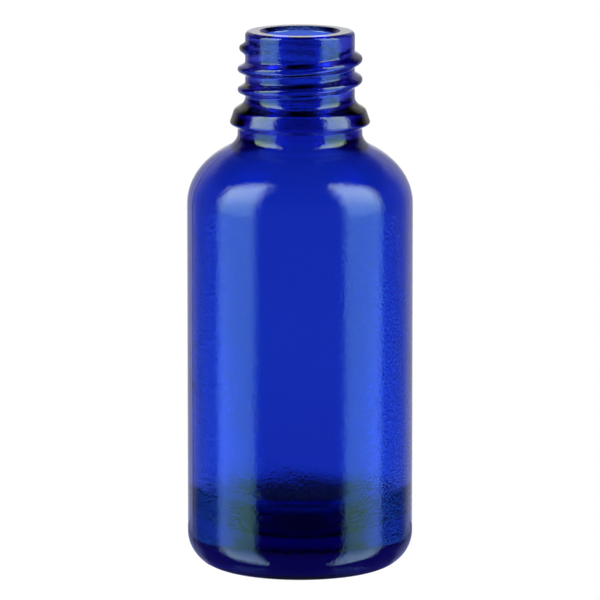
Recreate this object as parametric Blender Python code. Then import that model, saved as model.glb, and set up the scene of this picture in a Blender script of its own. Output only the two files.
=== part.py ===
"""A 30 ml dropper bottle, moulded in one piece of cobalt glass, with an 18 mm screw finish.

Metres, +Z up. The bottle stands on z = 0 with its axis on +Z, and its mouth is open.
The solid is one turned section, swept round the axis, with the screw thread joined on.
"""

import math

import bmesh
import bpy

MM = 0.001

# Overall size
HEIGHT = 79.0 * MM
BODY_RADIUS = 16.5 * MM

# Glass thickness
BODY_WALL = 2.1 * MM
FLOOR_THICKNESS = 5.2 * MM

# Bowl that the inside ends in, with a small flat in its middle
BOWL_DEPTH = 7.6 * MM
BOWL_FLAT_RADIUS = 0.9 * MM

# Base: a flat ring to stand on, round a shallow push-up
HEEL_RADIUS = 5.2 * MM
STANDING_RING_WIDTH = 2.0 * MM
PUSH_UP_HEIGHT = 1.1 * MM

# Shoulder: two tangent arcs, flattened along the axis
SHOULDER_RADIUS = 13.45 * MM
ROOT_RADIUS = 3.1 * MM
SHOULDER_FLATTENING = 0.75
INNER_ROOT_RAISE = 1.0 * MM

# Neck below the bead
NECK_RADIUS = 9.1 * MM
NECK_LENGTH = 0.8 * MM
NECK_FILLET = 0.2 * MM

# Bead between the neck and the finish
BEAD_RADIUS = 10.3 * MM
BEAD_HEIGHT = 3.75 * MM
BEAD_UNDERCUT = 0.7 * MM
BEAD_LIP_FILLET = 0.4 * MM
BEAD_TOP_RADIUS = 9.6 * MM
BEAD_TOP_DROP = 1.0 * MM
BEAD_TOP_FILLET = 1.1 * MM
BEAD_COVE = 1.4 * MM

# Finish: the part of the neck that carries the thread and the mouth
FINISH_RADIUS = 8.0 * MM
FINISH_HEIGHT = 10.4 * MM
RIM_FILLET = 0.65 * MM
LIP_FLARE = 0.55 * MM
LIP_DEPTH = 0.7 * MM
BORE_RADIUS = 5.35 * MM

# Right-hand screw thread, measured from the mouth downwards
THREAD_HEIGHT = 1.1 * MM
THREAD_PITCH = 3.0 * MM
THREAD_DROP = 2.35 * MM
THREAD_TURNS = 2.35
THREAD_END_ANGLE = math.radians(210.0)
THREAD_RUN_OUT = math.radians(50.0)
THREAD_CREST_RADIUS = 0.6 * MM
THREAD_FLANK_ANGLE = math.radians(30.0)
THREAD_ROOT_SINK = 0.4 * MM

# Fineness of the facets
SEGMENTS = 48
ARC_STEP = math.radians(15.0)
CREST_POINTS = 4

SMOOTH_ANGLE = math.radians(32.0)
GLASS_COLOUR = (0.006, 0.02, 0.42, 1.0)


def clear_scene():
    for obj in list(bpy.data.objects):
        bpy.data.objects.remove(obj, do_unlink=True)


def arc(centre, radius, start, end, flattening=1.0):
    """Points (r, z) along an arc, both ends included."""
    steps = max(2, math.ceil(abs(end - start) / ARC_STEP))
    points = []
    for step in range(steps + 1):
        angle = start + (end - start) * step / steps
        across = centre[0] + radius * math.cos(angle)
        up = centre[1] + radius * math.sin(angle) * flattening
        points.append((across, up))
    return points


def fillet(before, corner, after, radius):
    """The arc that rounds a corner between two straight runs."""
    to_before = math.atan2(before[1] - corner[1], before[0] - corner[0])
    to_after = math.atan2(after[1] - corner[1], after[0] - corner[0])
    opening = (to_after - to_before + math.pi) % math.tau - math.pi
    half = opening / 2
    reach = radius / abs(math.sin(half))
    centre_way = to_before + half
    centre = (corner[0] + reach * math.cos(centre_way), corner[1] + reach * math.sin(centre_way))
    turn = math.copysign(math.pi, opening) - opening
    start = to_before - math.copysign(math.pi / 2, opening)
    return arc(centre, radius, start, start - turn)


def rounded(corners):
    """An open outline through corners (r, z, fillet radius), each rounded unless its radius is 0."""
    points = []
    for index, (across, up, radius) in enumerate(corners):
        if radius:
            points += fillet(corners[index - 1], (across, up), corners[index + 1], radius)
        else:
            points.append((across, up))
    return points


def shoulder(body_radius, neck_radius, root_height, shoulder_radius, root_radius):
    """The shoulder's outline from the neck down to the body, as two flattened tangent arcs."""
    root_centre = neck_radius + root_radius
    body_centre = body_radius - shoulder_radius
    across = root_centre - body_centre
    drop = math.sqrt((shoulder_radius + root_radius) ** 2 - across**2)
    join = math.atan2(drop, across)
    shoulder_height = root_height - drop * SHOULDER_FLATTENING
    root = arc((root_centre, root_height), root_radius, math.pi, math.pi + join, SHOULDER_FLATTENING)
    crown = arc((body_centre, shoulder_height), shoulder_radius, join, 0.0, SHOULDER_FLATTENING)
    return root + crown[1:]


def push_up():
    """The hollow under the base, from its top on the axis to the standing ring."""
    edge = BODY_RADIUS - HEEL_RADIUS - STANDING_RING_WIDTH
    radius = (edge**2 + PUSH_UP_HEIGHT**2) / (2 * PUSH_UP_HEIGHT)
    half_angle = math.asin(edge / radius)
    centre = (0.0, PUSH_UP_HEIGHT - radius)
    return arc(centre, radius, math.pi / 2, math.pi / 2 - half_angle)


def heel():
    ring_edge = BODY_RADIUS - HEEL_RADIUS
    return arc((ring_edge, HEEL_RADIUS), HEEL_RADIUS, -math.pi / 2, 0.0)


def neck_and_finish():
    """The outer outline from the neck's root up over the bead and the rim to the mouth's lip."""
    bead_top = HEIGHT - FINISH_HEIGHT
    bead_bottom = bead_top - BEAD_HEIGHT
    return rounded([
        (NECK_RADIUS, bead_bottom - NECK_LENGTH, 0),
        (NECK_RADIUS, bead_bottom, NECK_FILLET),
        (BEAD_RADIUS, bead_bottom + BEAD_UNDERCUT, BEAD_LIP_FILLET),
        (BEAD_TOP_RADIUS, bead_top - BEAD_TOP_DROP, BEAD_TOP_FILLET),
        (FINISH_RADIUS, bead_top, BEAD_COVE),
        (FINISH_RADIUS, HEIGHT, RIM_FILLET),
        (BORE_RADIUS + LIP_FLARE, HEIGHT, 0),
        (BORE_RADIUS, HEIGHT - LIP_DEPTH, 0),
    ])


def root_height():
    return HEIGHT - FINISH_HEIGHT - BEAD_HEIGHT - NECK_LENGTH


def bowl(inside):
    reach = inside - BOWL_FLAT_RADIUS
    centre = (BOWL_FLAT_RADIUS, FLOOR_THICKNESS + BOWL_DEPTH)
    curve = arc(centre, reach, 0.0, -math.pi / 2, BOWL_DEPTH / reach)
    return curve + [(0.0, FLOOR_THICKNESS)]


def inner_outline():
    """From the bottom of the bore, out under the shoulder and down to the middle of the floor."""
    inside = BODY_RADIUS - BODY_WALL
    upper = shoulder(
        inside,
        BORE_RADIUS,
        root_height() + INNER_ROOT_RAISE,
        SHOULDER_RADIUS - BODY_WALL,
        ROOT_RADIUS + NECK_RADIUS - BORE_RADIUS,
    )
    return upper + bowl(inside)


def bottle_section():
    """The closed half section, from the push-up's centre round the outside to the floor's centre."""
    outer_shoulder = shoulder(BODY_RADIUS, NECK_RADIUS, root_height(), SHOULDER_RADIUS, ROOT_RADIUS)
    outside = push_up() + heel() + outer_shoulder[::-1] + neck_and_finish()[1:]
    return outside + inner_outline()


def turned(name, section):
    """A solid turned round the axis from a section whose first and last points are on it."""
    shape = bmesh.new()
    first = shape.verts.new((0.0, 0.0, section[0][1]))
    last = shape.verts.new((0.0, 0.0, section[-1][1]))
    rings = []
    for across, up in section[1:-1]:
        ring = []
        for segment in range(SEGMENTS):
            angle = math.tau * segment / SEGMENTS
            ring.append(shape.verts.new((across * math.cos(angle), across * math.sin(angle), up)))
        rings.append(ring)
    for segment in range(SEGMENTS):
        beside = (segment + 1) % SEGMENTS
        shape.faces.new((first, rings[0][beside], rings[0][segment]))
        for below, above in zip(rings, rings[1:]):
            shape.faces.new((below[segment], below[beside], above[beside], above[segment]))
        shape.faces.new((last, rings[-1][segment], rings[-1][beside]))
    return finished(name, shape)


def thread_section(crest):
    """The thread's cross-section (r, height about its middle) for a crest radius, foot to foot."""
    foot = FINISH_RADIUS - THREAD_ROOT_SINK
    middle = crest - THREAD_CREST_RADIUS
    slope = math.tan(THREAD_FLANK_ANGLE)
    half_width = THREAD_CREST_RADIUS / math.cos(THREAD_FLANK_ANGLE) + (middle - foot) * slope
    swing = math.pi / 2 - THREAD_FLANK_ANGLE
    points = [(foot, -half_width)]
    for step in range(CREST_POINTS + 1):
        angle = swing * (2 * step / CREST_POINTS - 1)
        across = middle + THREAD_CREST_RADIUS * math.cos(angle)
        points.append((across, THREAD_CREST_RADIUS * math.sin(angle)))
    points.append((foot, half_width))
    return points


def crest_radius(turned_angle, whole_angle):
    """The crest's radius along the thread: it rises out of the neck and dives into it again."""
    from_end = min(turned_angle, whole_angle - turned_angle)
    rise = min(1.0, from_end / THREAD_RUN_OUT)
    ease = math.sin(rise * math.pi / 2) ** 2
    buried = FINISH_RADIUS - THREAD_ROOT_SINK / 4
    return buried + (FINISH_RADIUS + THREAD_HEIGHT - buried) * ease


def thread():
    """The thread as a closed ridge, its foot sunk in the neck's wall."""
    whole_angle = THREAD_TURNS * math.tau
    stations = round(THREAD_TURNS * SEGMENTS)
    top = HEIGHT - THREAD_DROP
    shape = bmesh.new()
    rings = []
    for station in range(stations + 1):
        back = whole_angle * station / stations
        angle = THREAD_END_ANGLE - back
        height = top - THREAD_PITCH * back / math.tau
        ring = []
        for across, up in thread_section(crest_radius(back, whole_angle)):
            place = (across * math.cos(angle), across * math.sin(angle), height + up)
            ring.append(shape.verts.new(place))
        rings.append(ring)
    corners = len(rings[0])
    for ring, following in zip(rings, rings[1:]):
        for corner in range(corners):
            beside = (corner + 1) % corners
            shape.faces.new((ring[corner], ring[beside], following[beside], following[corner]))
    shape.faces.new(rings[0])
    shape.faces.new(rings[-1][::-1])
    return finished("thread_ridge", shape)


def finished(name, shape):
    """An object in the scene with the shape's faces turned outwards."""
    bmesh.ops.recalc_face_normals(shape, faces=shape.faces)
    mesh = bpy.data.meshes.new(name)
    shape.to_mesh(mesh)
    shape.free()
    obj = bpy.data.objects.new(name, mesh)
    bpy.context.scene.collection.objects.link(obj)
    return obj


def cobalt_glass():
    material = bpy.data.materials.new("cobalt_glass")
    material.use_nodes = True
    shader = material.node_tree.nodes["Principled BSDF"]
    shader.inputs["Base Color"].default_value = GLASS_COLOUR
    shader.inputs["Metallic"].default_value = 0.0
    shader.inputs["Roughness"].default_value = 0.03
    shader.inputs["IOR"].default_value = 1.52
    shader.inputs["Transmission Weight"].default_value = 1.0
    return material


def join_thread(bottle, ridge):
    """The ridge becomes part of the bottle's solid, and is kept only as a guide."""
    union = bottle.modifiers.new("thread", "BOOLEAN")
    union.operation = "UNION"
    union.solver = "EXACT"
    union.object = ridge
    ridge.hide_render = True
    ridge.display_type = "WIRE"


def main():
    clear_scene()
    bottle = turned("glass_bottle", bottle_section())
    bottle.data.materials.append(cobalt_glass())
    bottle.data.shade_smooth()
    bottle.data.set_sharp_from_angle(angle=SMOOTH_ANGLE)
    join_thread(bottle, thread())


main()
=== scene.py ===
"""The looks of a cobalt-blue dropper bottle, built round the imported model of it.

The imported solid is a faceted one. This script stands a fine glass mesh in its place: one closed,
turned shell whose walls ripple as blown glass does, with its screw thread, its bead and its mould
seams drawn out of the same surface. Lengths are in metres, with the frame's origin and axes.
"""

import math

import bpy
import numpy as np
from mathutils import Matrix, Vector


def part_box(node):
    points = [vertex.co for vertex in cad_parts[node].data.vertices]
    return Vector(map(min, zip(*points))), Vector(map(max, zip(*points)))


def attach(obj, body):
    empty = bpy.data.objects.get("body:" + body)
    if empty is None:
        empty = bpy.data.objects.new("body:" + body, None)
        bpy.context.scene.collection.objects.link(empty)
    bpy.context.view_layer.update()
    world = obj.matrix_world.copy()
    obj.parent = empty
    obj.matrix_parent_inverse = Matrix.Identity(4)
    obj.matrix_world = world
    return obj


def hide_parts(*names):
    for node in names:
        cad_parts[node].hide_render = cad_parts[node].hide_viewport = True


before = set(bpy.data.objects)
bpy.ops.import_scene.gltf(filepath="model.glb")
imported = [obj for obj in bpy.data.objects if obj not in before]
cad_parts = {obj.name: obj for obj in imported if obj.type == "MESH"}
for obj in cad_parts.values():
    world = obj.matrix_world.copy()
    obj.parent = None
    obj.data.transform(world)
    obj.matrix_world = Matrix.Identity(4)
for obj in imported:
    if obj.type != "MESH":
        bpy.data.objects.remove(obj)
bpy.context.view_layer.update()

MM = 0.001
NODE = "glass_bottle"
NODE_LOW, NODE_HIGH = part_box(NODE)

# Overall size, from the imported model
HEIGHT = NODE_HIGH[2] - NODE_LOW[2]
BODY_RADIUS = (NODE_HIGH[0] - NODE_LOW[0]) / 2

# Glass thickness
BODY_WALL = 2.1 * MM
FLOOR_THICKNESS = 5.2 * MM
BOWL_DEPTH = 7.6 * MM
BOWL_FLAT_RADIUS = 0.9 * MM

# Base
HEEL_RADIUS = 5.2 * MM
STANDING_RING_WIDTH = 2.0 * MM
PUSH_UP_HEIGHT = 1.1 * MM

# Shoulder
SHOULDER_RADIUS = 13.45 * MM
ROOT_RADIUS = 3.1 * MM
SHOULDER_FLATTENING = 0.75
INNER_ROOT_RAISE = 1.0 * MM

# Neck and bead
NECK_RADIUS = 9.1 * MM
NECK_LENGTH = 0.8 * MM
NECK_FILLET = 0.2 * MM
BEAD_RADIUS = 10.3 * MM
BEAD_HEIGHT = 3.75 * MM
BEAD_UNDERCUT = 0.7 * MM
BEAD_LIP_FILLET = 0.4 * MM
BEAD_TOP_RADIUS = 9.6 * MM
BEAD_TOP_DROP = 1.0 * MM
BEAD_TOP_FILLET = 1.1 * MM
BEAD_COVE = 1.4 * MM

# Finish and mouth
FINISH_RADIUS = 8.0 * MM
FINISH_HEIGHT = 10.4 * MM
RIM_FILLET = 0.65 * MM
LIP_FLARE = 0.55 * MM
LIP_FILLET = 0.12 * MM
LIP_DEPTH = 0.7 * MM
TAPER_FILLET = 0.4 * MM
BORE_RADIUS = 5.35 * MM

# Right-hand screw thread, measured from the mouth downwards
THREAD_HEIGHT = 1.1 * MM
THREAD_PITCH = 3.0 * MM
THREAD_DROP = 2.35 * MM
THREAD_TURNS = 2.35
THREAD_END_ANGLE = math.radians(210.0)
THREAD_RUN_OUT = math.radians(50.0)
THREAD_CREST_RADIUS = 0.6 * MM
THREAD_FLANK_ANGLE = math.radians(30.0)
THREAD_FOOT_FILLET = 0.35 * MM

# Marks of the mould: two joint lines down the outside, and dashes across the standing ring
SEAM_ANGLES = (math.radians(18.0), math.radians(198.0))
SEAM_HEIGHT = 0.045 * MM
SEAM_WIDTH = 0.35 * MM
RING_DASHES = 60
RING_DASH_DEPTH = 0.14 * MM

# Unevenness of the blown inside: the wall is thinner at the sides, and waves round and down it
SIDE_THINNING = 0.42 * MM
MIDDLE_THINNING = 0.16 * MM
MIDDLE_HEIGHT = 34.0 * MM
MIDDLE_REACH = 9.0 * MM
WAVES = (
    (0.030 * MM, 3, 210.0, 0.4),
    (0.022 * MM, 5, 370.0, 2.1),
    (0.014 * MM, 9, 640.0, 4.0),
    (0.008 * MM, 17, 1150.0, 1.2),
    (0.005 * MM, 26, 1730.0, 5.3),
)

WAVES_FADE_AT_NECK = 8.0 * MM

# Fineness of the mesh
SEGMENTS = 300
ARC_STEP = math.radians(3.0)
WALL_STEP = 0.55 * MM
FINISH_STEP = 0.08 * MM
PUSH_UP_STEPS = 24
TINY = 0.001 * MM

# Glass: its tint is taken on at each face, and its absorption through its thickness
GLASS_TINT = (0.10, 0.26, 0.78)
GLASS_IOR = 1.52
GLASS_ABSORPTION = (0.50, 0.167, 0.75)
GLASS_DENSITY = 300.0
SMUDGE_SCALE = 190.0
SMUDGE_ROUGHNESS = 0.06
PEEL_SCALE = 2400.0
PEEL_DEPTH = 0.035 * MM

# Camera, as the bottle was photographed
CAMERA_BACK = 975.7 * MM
CAMERA_HEIGHT = 202.5 * MM
CAMERA_PITCH = math.radians(9.494)
CAMERA_LENS = 405.85
SENSOR_WIDTH = 36.0


# ---------------------------------------------------------------- outline of the glass

def arc(centre, radius, start, end, flattening=1.0):
    steps = max(2, math.ceil(abs(end - start) / ARC_STEP))
    angles = start + (end - start) * np.arange(steps + 1) / steps
    across = centre[0] + radius * np.cos(angles)
    up = centre[1] + radius * np.sin(angles) * flattening
    return list(zip(across, up))


def fillet(before, corner, after, radius):
    to_before = math.atan2(before[1] - corner[1], before[0] - corner[0])
    to_after = math.atan2(after[1] - corner[1], after[0] - corner[0])
    opening = (to_after - to_before + math.pi) % math.tau - math.pi
    reach = radius / abs(math.sin(opening / 2))
    way = to_before + opening / 2
    centre = (corner[0] + reach * math.cos(way), corner[1] + reach * math.sin(way))
    turn = math.copysign(math.pi, opening) - opening
    start = to_before - math.copysign(math.pi / 2, opening)
    return arc(centre, radius, start, start - turn)


def rounded(corners):
    points = []
    for index, (across, up, radius) in enumerate(corners):
        if radius:
            points += fillet(corners[index - 1], (across, up), corners[index + 1], radius)
        else:
            points.append((across, up))
    return points


def shoulder(body_radius, neck_radius, root_height, shoulder_radius, root_radius):
    root_centre = neck_radius + root_radius
    body_centre = body_radius - shoulder_radius
    across = root_centre - body_centre
    drop = math.sqrt((shoulder_radius + root_radius) ** 2 - across**2)
    join = math.atan2(drop, across)
    shoulder_height = root_height - drop * SHOULDER_FLATTENING
    root = arc((root_centre, root_height), root_radius, math.pi, math.pi + join, SHOULDER_FLATTENING)
    crown = arc((body_centre, shoulder_height), shoulder_radius, join, 0.0, SHOULDER_FLATTENING)
    return root + crown[1:]


def push_up():
    edge = BODY_RADIUS - HEEL_RADIUS - STANDING_RING_WIDTH
    radius = (edge**2 + PUSH_UP_HEIGHT**2) / (2 * PUSH_UP_HEIGHT)
    centre = PUSH_UP_HEIGHT - radius
    shares = np.arange(PUSH_UP_STEPS + 1) / PUSH_UP_STEPS
    angles = math.pi / 2 - math.asin(edge / radius) * shares
    return [(radius * math.cos(a), centre + radius * math.sin(a)) for a in angles]


def heel():
    return arc((BODY_RADIUS - HEEL_RADIUS, HEEL_RADIUS), HEEL_RADIUS, -math.pi / 2, 0.0)


BEAD_TOP = HEIGHT - FINISH_HEIGHT
BEAD_BOTTOM = BEAD_TOP - BEAD_HEIGHT
ROOT_HEIGHT = BEAD_BOTTOM - NECK_LENGTH


def neck_and_finish():
    return rounded([
        (NECK_RADIUS, ROOT_HEIGHT, 0),
        (NECK_RADIUS, BEAD_BOTTOM, NECK_FILLET),
        (BEAD_RADIUS, BEAD_BOTTOM + BEAD_UNDERCUT, BEAD_LIP_FILLET),
        (BEAD_TOP_RADIUS, BEAD_TOP - BEAD_TOP_DROP, BEAD_TOP_FILLET),
        (FINISH_RADIUS, BEAD_TOP, BEAD_COVE),
        (FINISH_RADIUS, HEIGHT, RIM_FILLET),
        (BORE_RADIUS + LIP_FLARE, HEIGHT, LIP_FILLET),
        (BORE_RADIUS, HEIGHT - LIP_DEPTH, TAPER_FILLET),
        (BORE_RADIUS, ROOT_HEIGHT + INNER_ROOT_RAISE, 0),
    ])[:-1]


def bowl(inside):
    reach = inside - BOWL_FLAT_RADIUS
    centre = (BOWL_FLAT_RADIUS, FLOOR_THICKNESS + BOWL_DEPTH)
    curve = arc(centre, reach, 0.0, -math.pi / 2, BOWL_DEPTH / reach)
    return curve + [(0.0, FLOOR_THICKNESS)]


def inner_outline():
    inside = BODY_RADIUS - BODY_WALL
    upper = shoulder(
        inside,
        BORE_RADIUS,
        ROOT_HEIGHT + INNER_ROOT_RAISE,
        SHOULDER_RADIUS - BODY_WALL,
        ROOT_RADIUS + NECK_RADIUS - BORE_RADIUS,
    )
    return upper + bowl(inside)


def step_at(up):
    return FINISH_STEP if up > BEAD_TOP - BEAD_TOP_DROP else WALL_STEP


def dense(points):
    """The same outline with its long straight runs divided, finely where the thread is."""
    out = [points[0]]
    for before, after in zip(points, points[1:]):
        length = math.dist(before, after)
        outside_finish = min(before[0], after[0]) > FINISH_RADIUS - TINY
        step = step_at(min(before[1], after[1])) if outside_finish else WALL_STEP
        pieces = max(1, math.ceil(length / step))
        for piece in range(1, pieces + 1):
            share = piece / pieces
            out.append((
                before[0] + (after[0] - before[0]) * share,
                before[1] + (after[1] - before[1]) * share,
            ))
    return out


def section():
    outer_shoulder = shoulder(BODY_RADIUS, NECK_RADIUS, ROOT_HEIGHT, SHOULDER_RADIUS, ROOT_RADIUS)
    outside = push_up() + heel() + outer_shoulder[::-1] + neck_and_finish()[1:]
    points = np.array(dense(outside + inner_outline()))
    keep = np.ones(len(points), bool)
    keep[1:] = np.hypot(*np.diff(points, axis=0).T) > TINY
    return points[keep]


# ---------------------------------------------------------------- relief on the turned walls

def ridge(offset):
    """The thread's height above the finish at a distance along the axis from its crest."""
    far = np.abs(offset)
    slope = math.tan(THREAD_FLANK_ANGLE)
    crest = THREAD_CREST_RADIUS
    top = THREAD_HEIGHT - crest
    crest_end = crest * math.cos(THREAD_FLANK_ANGLE)
    flank_top = top + crest * math.sin(THREAD_FLANK_ANGLE)
    foot = crest_end + flank_top * slope
    reach = THREAD_FOOT_FILLET * math.tan((math.pi / 2 - THREAD_FLANK_ANGLE) / 2)
    fillet_start = foot - reach * math.sin(THREAD_FLANK_ANGLE)
    fillet_end = foot + reach
    on_crest = top + np.sqrt(np.clip(crest**2 - far**2, 0, None))
    on_flank = flank_top - (far - crest_end) / slope
    inside = np.clip(THREAD_FOOT_FILLET**2 - (fillet_end - far) ** 2, 0, None)
    on_fillet = THREAD_FOOT_FILLET - np.sqrt(inside)
    return np.select(
        [far < crest_end, far < fillet_start, far < fillet_end],
        [on_crest, on_flank, on_fillet],
        0.0,
    )


def thread_relief(angle, up):
    """How far the thread stands out, for each angle round the neck and height."""
    relief = np.zeros(np.broadcast_shapes(angle.shape, up.shape))
    whole = THREAD_TURNS * math.tau
    first = (THREAD_END_ANGLE - angle) % math.tau
    for turn in range(math.ceil(THREAD_TURNS) + 1):
        back = first + turn * math.tau
        from_end = np.minimum(back, whole - back)
        rise = np.clip(from_end / THREAD_RUN_OUT, 0, 1)
        ease = np.sin(rise * math.pi / 2) ** 2
        crest_up = HEIGHT - THREAD_DROP - THREAD_PITCH * back / math.tau
        relief = np.maximum(relief, ease * ridge(up - crest_up))
    return relief


def seam_relief(angle, across, outwards):
    """Height of the mould's joint lines, where the wall faces far enough outwards."""
    relief = np.zeros((len(across), len(angle)))
    for seam in SEAM_ANGLES:
        away = (angle - seam + math.pi) % math.tau - math.pi
        reach = across[:, None] * np.abs(away)[None, :] / SEAM_WIDTH
        relief += SEAM_HEIGHT * np.exp(-4.0 * reach**2)
    return relief * np.clip(3.0 * outwards - 1.0, 0, 1)[:, None]


def ring_relief(angle, across):
    """Depth of the notches between the dashes of the standing ring."""
    inner = BODY_RADIUS - HEEL_RADIUS - STANDING_RING_WIDTH
    share = np.clip((across - inner) / STANDING_RING_WIDTH, 0, 1)
    fade = np.sin(share * math.pi)[:, None]
    notch = (0.5 - 0.5 * np.cos(RING_DASHES * angle))[None, :]
    return -RING_DASH_DEPTH * fade * notch


def wall_waves(angle, up):
    """How far the inside stands back from its plain shape, for each height and angle."""
    sides = 0.5 + 0.5 * np.cos(2 * angle)[None, :]
    middle = np.exp(-(((up - MIDDLE_HEIGHT) / MIDDLE_REACH) ** 2))[:, None]
    back = SIDE_THINNING * sides + MIDDLE_THINNING * middle
    for size, round_count, rise, start in WAVES:
        phase = round_count * angle[None, :] + rise * up[:, None] + start
        back = back + size * np.sin(phase) * np.sin(rise * 0.7 * up[:, None] + 1.7 * start)
    return back


def turned_mesh():
    points = section()
    across, up = points[1:-1, 0], points[1:-1, 1]
    angle = math.tau * np.arange(SEGMENTS) / SEGMENTS
    way = np.gradient(points, axis=0)[1:-1]
    way /= np.hypot(way[:, 0], way[:, 1])[:, None]
    normal = np.stack([way[:, 1], -way[:, 0]], axis=1)

    lift = np.zeros((len(across), SEGMENTS))
    near_finish = np.abs(across - FINISH_RADIUS) < 1.0 * MM
    on_finish = near_finish & (up > BEAD_TOP - 0.5 * MM) & (normal[:, 0] > 0.7)
    lift[on_finish] += thread_relief(angle[None, :], up[on_finish][:, None])
    low_outside = (normal[:, 0] > 0.05) & (up < BEAD_BOTTOM)
    lift[low_outside] += seam_relief(angle, across[low_outside], normal[low_outside, 0])
    on_ring = (up < TINY) & (across < BODY_RADIUS - HEEL_RADIUS + TINY)
    lift[on_ring] += ring_relief(angle, across[on_ring])
    inside = (normal[:, 0] < -0.05) & (up > FLOOR_THICKNESS) & (up < ROOT_HEIGHT)
    fade = np.clip((up[inside] - FLOOR_THICKNESS) / (2 * BOWL_DEPTH), 0, 1)
    fade *= np.clip((ROOT_HEIGHT - up[inside]) / WAVES_FADE_AT_NECK, 0, 1)
    lift[inside] -= fade[:, None] * wall_waves(angle, up[inside])

    radius = across[:, None] + normal[:, :1] * lift
    height = up[:, None] + normal[:, 1:] * lift
    ring = np.stack([radius * np.cos(angle), radius * np.sin(angle), height], axis=-1)
    verts = np.concatenate([ring.reshape(-1, 3), [[0, 0, points[0, 1]], [0, 0, points[-1, 1]]]])

    rows, columns = len(across), SEGMENTS
    index = np.arange(rows * columns).reshape(rows, columns)
    beside = np.roll(index, -1, axis=1)
    quads = np.stack([index[:-1], beside[:-1], beside[1:], index[1:]], axis=-1).reshape(-1, 4)
    first, last = rows * columns, rows * columns + 1
    caps = [(first, b, a) for a, b in zip(index[0], beside[0])]
    caps += [(last, a, b) for a, b in zip(index[-1], beside[-1])]
    return verts, quads.tolist() + [tuple(int(i) for i in cap) for cap in caps]


def make_bottle(material):
    verts, faces = turned_mesh()
    mesh = bpy.data.meshes.new("bottle_glass")
    mesh.from_pydata(verts.tolist(), [], faces)
    mesh.validate()
    mesh.shade_smooth()
    mesh.materials.append(material)
    bottle = bpy.data.objects.new("bottle_glass", mesh)
    bpy.context.scene.collection.objects.link(bottle)
    return bottle


# ---------------------------------------------------------------- material

def cobalt_glass():
    material = bpy.data.materials.new("cobalt_glass")
    material.use_nodes = True
    nodes, links = material.node_tree.nodes, material.node_tree.links
    shader = nodes["Principled BSDF"]
    shader.inputs["Base Color"].default_value = (*GLASS_TINT, 1.0)
    shader.inputs["IOR"].default_value = GLASS_IOR
    shader.inputs["Transmission Weight"].default_value = 1.0
    place = nodes.new("ShaderNodeTexCoord")
    smudges = nodes.new("ShaderNodeTexNoise")
    smudges.inputs["Scale"].default_value = SMUDGE_SCALE
    smudges.inputs["Detail"].default_value = 4.0
    links.new(place.outputs["Object"], smudges.inputs["Vector"])
    polish = nodes.new("ShaderNodeMapRange")
    polish.inputs["From Min"].default_value = 0.45
    polish.inputs["From Max"].default_value = 0.75
    polish.inputs["To Min"].default_value = 0.0
    polish.inputs["To Max"].default_value = SMUDGE_ROUGHNESS
    links.new(smudges.outputs["Fac"], polish.inputs["Value"])
    links.new(polish.outputs["Result"], shader.inputs["Roughness"])
    peel = nodes.new("ShaderNodeTexNoise")
    peel.inputs["Scale"].default_value = PEEL_SCALE
    peel.inputs["Detail"].default_value = 3.0
    peel.inputs["Roughness"].default_value = 0.55
    links.new(place.outputs["Object"], peel.inputs["Vector"])
    skin = nodes.new("ShaderNodeBump")
    skin.inputs["Strength"].default_value = 1.0
    skin.inputs["Distance"].default_value = PEEL_DEPTH
    links.new(peel.outputs["Fac"], skin.inputs["Height"])
    links.new(skin.outputs["Normal"], shader.inputs["Normal"])
    absorb = nodes.new("ShaderNodeVolumeAbsorption")
    absorb.inputs["Color"].default_value = (*GLASS_ABSORPTION, 1.0)
    absorb.inputs["Density"].default_value = GLASS_DENSITY
    links.new(absorb.outputs["Volume"], nodes["Material Output"].inputs["Volume"])
    return material


# ---------------------------------------------------------------- studio

FLOOR_HALF_WIDTH = 6.0
TABLETOP_HALF_WIDTH = 30 * MM
TABLETOP_GAP = 0.02 * MM
TABLETOP_GLOSS = (0.42, 0.48, 0.92)
TABLETOP_GLOW = 0.03


def emission_material(name, colour, strength):
    material = bpy.data.materials.new(name)
    material.use_nodes = True
    nodes, links = material.node_tree.nodes, material.node_tree.links
    nodes.clear()
    glow = nodes.new("ShaderNodeEmission")
    glow.inputs["Color"].default_value = (*colour, 1.0)
    glow.inputs["Strength"].default_value = strength
    out = nodes.new("ShaderNodeOutputMaterial")
    links.new(glow.outputs["Emission"], out.inputs["Surface"])
    material.cycles.emission_sampling = "NONE"
    return material


def make_floor():
    half = FLOOR_HALF_WIDTH
    mesh = bpy.data.meshes.new("floor")
    corners = [(-half, -half, 0), (half, -half, 0), (half, half, 0), (-half, half, 0)]
    mesh.from_pydata(corners, [], [(0, 1, 2, 3)])
    mesh.materials.append(emission_material("floor_white", (1.0, 1.0, 1.0), 1.0))
    floor = bpy.data.objects.new("floor", mesh)
    bpy.context.scene.collection.objects.link(floor)
    floor.visible_glossy = False
    floor.visible_transmission = False
    floor.visible_diffuse = False


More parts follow.
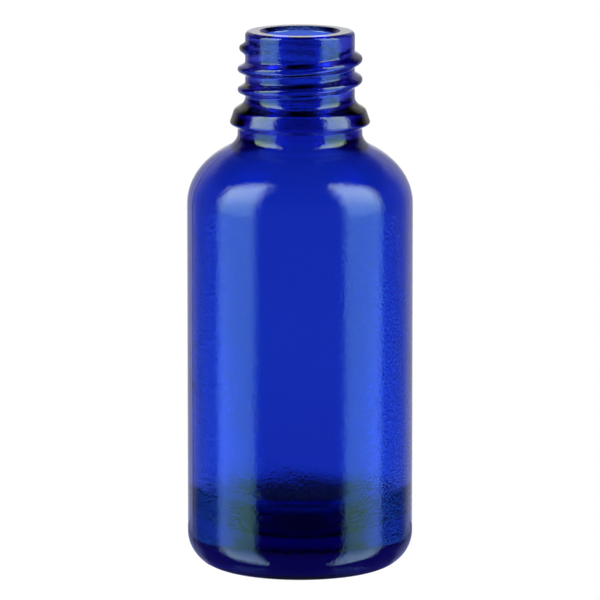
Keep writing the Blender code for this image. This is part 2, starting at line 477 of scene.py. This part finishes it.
def make_tabletop():
    """The glossy tabletop right under the bottle, which only the glass sees, with a faint painted
    glow of its own.
    """
    material = bpy.data.materials.new("tabletop_gloss")
    material.use_nodes = True
    nodes, links = material.node_tree.nodes, material.node_tree.links
    nodes.clear()
    gloss = nodes.new("ShaderNodeBsdfGlossy")
    gloss.inputs["Color"].default_value = (*TABLETOP_GLOSS, 1.0)
    gloss.inputs["Roughness"].default_value = 0.0
    # painted glow: the tabletop gives off a little light of its own, though it is no lamp
    glow = nodes.new("ShaderNodeEmission")
    glow.inputs["Strength"].default_value = TABLETOP_GLOW
    both = nodes.new("ShaderNodeAddShader")
    links.new(gloss.outputs["BSDF"], both.inputs[0])
    links.new(glow.outputs["Emission"], both.inputs[1])
    out = nodes.new("ShaderNodeOutputMaterial")
    links.new(both.outputs["Shader"], out.inputs["Surface"])
    material.cycles.emission_sampling = "NONE"
    half = TABLETOP_HALF_WIDTH
    mesh = bpy.data.meshes.new("tabletop")
    corners = [(-half, -half), (half, -half), (half, half), (-half, half)]
    mesh.from_pydata([(*corner, -TABLETOP_GAP) for corner in corners], [], [(0, 1, 2, 3)])
    mesh.materials.append(material)
    tabletop = bpy.data.objects.new("tabletop", mesh)
    bpy.context.scene.collection.objects.link(tabletop)
    tabletop.visible_camera = False
    tabletop.visible_diffuse = False


# A softbox stands on each side. It faces a little past the camera, and reaches from its near edge
# to its far edge across, and up to its top. Its lamp is at the top, so it is dimmer lower down.
# Below the table's level comes its mirror image in the glossy table, which gives a bluer light.
SOFTBOX_FACING = math.radians(25.0)
SOFTBOX_DISTANCE = 0.60
SOFTBOX_NEAR_EDGE = math.radians(47.0)
SOFTBOX_FAR_EDGE = math.radians(91.0)
SOFTBOX_TOP = 1.06
SOFTBOX_BOTTOM = -2.40
SOFTBOX_FULL = 10.0
SOFTBOX_GLOW = (
    (-2.40, (4.2, 5.1, 6.9)),
    (-1.25, (4.2, 5.1, 6.9)),
    (-0.85, (1.1, 2.1, 7.5)),
    (-0.30, (0.9, 2.0, 7.5)),
    (-0.180, (0.9, 2.1, 8.0)),
    (-0.160, (0.9, 2.0, 0.3)),
    (-0.085, (0.8, 1.8, 0.9)),
    (-0.068, (0.3, 0.9, 1.7)),
    (-0.055, (0.6, 1.6, 2.2)),
    (0.00, (1.5, 3.0, 2.6)),
    (0.14, (1.8, 3.4, 2.8)),
    (0.30, (2.6, 4.4, 3.6)),
    (0.45, (4.3, 5.9, 4.4)),
    (0.65, (5.2, 6.8, 4.7)),
    (1.06, (5.2, 6.8, 4.7)),
)


def softbox_material():
    material = bpy.data.materials.new("softbox_glow")
    material.use_nodes = True
    nodes, links = material.node_tree.nodes, material.node_tree.links
    nodes.clear()
    place = nodes.new("ShaderNodeTexCoord")
    split = nodes.new("ShaderNodeSeparateXYZ")
    links.new(place.outputs["Object"], split.inputs["Vector"])
    share = nodes.new("ShaderNodeMapRange")
    share.inputs["From Min"].default_value = SOFTBOX_BOTTOM
    share.inputs["From Max"].default_value = SOFTBOX_TOP
    links.new(split.outputs["Z"], share.inputs["Value"])
    ramp = nodes.new("ShaderNodeValToRGB")
    links.new(share.outputs["Result"], ramp.inputs["Fac"])
    stops = ramp.color_ramp.elements
    while len(stops) < len(SOFTBOX_GLOW):
        stops.new(1.0)
    for stop, (height, colour) in zip(stops, SOFTBOX_GLOW):
        stop.position = (height - SOFTBOX_BOTTOM) / (SOFTBOX_TOP - SOFTBOX_BOTTOM)
        stop.color = (*[part / SOFTBOX_FULL for part in colour], 1.0)
    glow = nodes.new("ShaderNodeEmission")
    glow.inputs["Strength"].default_value = SOFTBOX_FULL
    links.new(ramp.outputs["Color"], glow.inputs["Color"])
    out = nodes.new("ShaderNodeOutputMaterial")
    links.new(glow.outputs["Emission"], out.inputs["Surface"])
    material.cycles.emission_sampling = "NONE"
    return material


def make_softbox(name, side, material):
    """side is 1 for the viewer's right and -1 for the left."""
    edges = []
    for edge in (SOFTBOX_NEAR_EDGE, SOFTBOX_FAR_EDGE):
        reach = SOFTBOX_DISTANCE / math.cos(edge - SOFTBOX_FACING)
        edges.append((side * reach * math.sin(edge), -reach * math.cos(edge)))
    near, far = edges
    corners = [
        (*near, SOFTBOX_BOTTOM),
        (*far, SOFTBOX_BOTTOM),
        (*far, SOFTBOX_TOP),
        (*near, SOFTBOX_TOP),
    ]
    mesh = bpy.data.meshes.new(name)
    mesh.from_pydata(corners, [], [(0, 1, 2, 3)])
    mesh.materials.append(material)
    softbox = bpy.data.objects.new(name, mesh)
    bpy.context.scene.collection.objects.link(softbox)
    softbox.visible_camera = False
    softbox.visible_diffuse = False


# The world's light depends on a ray's direction and on what the ray did last. Steepness is the
# height part of the direction, without its sign, and behind runs from -1 at the camera's side to 1
# beyond the bottle.
BAND = (0.42, 0.52)
BEHIND_WIDE = (0.60, 0.90)
BEHIND_WIDE_GLOW = 0.45
BEHIND_BRIGHT = (0.97, 1.0)
BEHIND_BRIGHT_GLOW = 0.55
SHEEN_COLOUR = (0.035, 0.15, 1.0)
SHEEN_GLOW = 6.0
SHEEN_FAR_GLOW = SHEEN_GLOW / 8
SHEEN_START = (-0.06, 0.02)
SHEEN_FALL = (0.0, 0.90)
SHEEN_HEIGHT = (-0.197, -0.193)
SHEEN_UNDER = (-0.25, -0.235)
SHEEN_UNDER_SHARE = 0.35


class WorldNodes:
    """Small sums made of world nodes."""

    def __init__(self, tree):
        self.nodes, self.links = tree.nodes, tree.links

    def sum(self, operation, *values):
        node = self.nodes.new("ShaderNodeMath")
        node.operation = operation
        for socket, value in zip(node.inputs, values):
            if isinstance(value, bpy.types.NodeSocket):
                self.links.new(value, socket)
            else:
                socket.default_value = value
        return node.outputs[0]

    def step(self, value, reach, start=0.0, end=1.0):
        """A smooth change from start to end as value goes through reach."""
        node = self.nodes.new("ShaderNodeMapRange")
        node.interpolation_type = "SMOOTHSTEP"
        self.links.new(value, node.inputs["Value"])
        for name, number in zip(("From Min", "From Max", "To Min", "To Max"), (*reach, start, end)):
            node.inputs[name].default_value = number
        return node.outputs["Result"]

    def choose(self, factor, without, with_it):
        node = self.nodes.new("ShaderNodeMix")
        self.links.new(factor, node.inputs["Factor"])
        for name, value in (("A", without), ("B", with_it)):
            if isinstance(value, bpy.types.NodeSocket):
                self.links.new(value, node.inputs[name])
            else:
                node.inputs[name].default_value = value
        return node.outputs["Result"]


def main_light(world, path, band, behind):
    """White to the camera; a white band seen through the glass; light behind it when reflected."""
    wide = world.step(behind, BEHIND_WIDE, 0.0, BEHIND_WIDE_GLOW)
    bright = world.step(behind, BEHIND_BRIGHT, 0.0, BEHIND_BRIGHT_GLOW)
    reflected = world.sum("MULTIPLY", band, world.sum("ADD", wide, bright))
    in_glass = world.choose(path.outputs["Is Transmission Ray"], reflected, band)
    return world.choose(path.outputs["Is Camera Ray"], in_glass, 1.0)


def blue_sheen(world, path, z, behind):
    """A blue sheen low at the sides, which only the outer face of the glass reflects."""
    beside = world.step(behind, SHEEN_START)
    weaker = world.step(behind, SHEEN_FALL, SHEEN_GLOW, SHEEN_FAR_GLOW)
    low = world.step(z, SHEEN_HEIGHT, 1.0, 0.0)
    not_under = world.step(z, SHEEN_UNDER, SHEEN_UNDER_SHARE, 1.0)
    other = world.sum("ADD", path.outputs["Is Camera Ray"], path.outputs["Is Transmission Ray"])
    strength = world.sum("MULTIPLY", beside, weaker)
    for part in (low, not_under, world.sum("SUBTRACT", 1.0, other)):
        strength = world.sum("MULTIPLY", strength, part)
    return strength


def make_world():
    studio = bpy.data.worlds.new("studio")
    studio.use_nodes = True
    nodes, links = studio.node_tree.nodes, studio.node_tree.links
    world = WorldNodes(studio.node_tree)
    coordinates = nodes.new("ShaderNodeTexCoord")
    split = nodes.new("ShaderNodeSeparateXYZ")
    links.new(coordinates.outputs["Generated"], split.inputs["Vector"])
    y, z = split.outputs["Y"], split.outputs["Z"]
    level = world.sum("SQRT", world.sum("SUBTRACT", 1.0, world.sum("MULTIPLY", z, z)))
    behind = world.sum("DIVIDE", y, level)
    band = world.step(world.sum("ABSOLUTE", z), BAND, 1.0, 0.0)
    path = nodes.new("ShaderNodeLightPath")

    background = nodes["Background"]
    background.inputs["Color"].default_value = (1.0, 1.0, 1.0, 1.0)
    links.new(main_light(world, path, band, behind), background.inputs["Strength"])
    sheen = nodes.new("ShaderNodeBackground")
    sheen.inputs["Color"].default_value = (*SHEEN_COLOUR, 1.0)
    links.new(blue_sheen(world, path, z, behind), sheen.inputs["Strength"])
    both = nodes.new("ShaderNodeAddShader")
    links.new(background.outputs["Background"], both.inputs[0])
    links.new(sheen.outputs["Background"], both.inputs[1])
    links.new(both.outputs["Shader"], nodes["World Output"].inputs["Surface"])
    bpy.context.scene.world = studio


def make_camera():
    camera = bpy.data.cameras.new("camera")
    camera.lens = CAMERA_LENS
    camera.sensor_width = SENSOR_WIDTH
    camera.clip_start = 0.01
    camera.clip_end = 100.0
    viewer = bpy.data.objects.new("camera", camera)
    viewer.location = (0.0, -CAMERA_BACK, CAMERA_HEIGHT)
    viewer.rotation_euler = (math.pi / 2 - CAMERA_PITCH, 0.0, 0.0)
    bpy.context.scene.collection.objects.link(viewer)
    bpy.context.scene.camera = viewer


def set_picture():
    scene = bpy.context.scene
    scene.view_settings.view_transform = "Standard"
    scene.cycles.max_bounces = 24
    scene.cycles.transmission_bounces = 24
    scene.cycles.glossy_bounces = 12


make_camera()
make_world()
make_floor()
make_tabletop()
softbox_glow = softbox_material()
make_softbox("softbox_right", 1, softbox_glow)
make_softbox("softbox_left", -1, softbox_glow)
set_picture()

bottle = make_bottle(cobalt_glass())
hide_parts(NODE)
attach(bottle, "root")
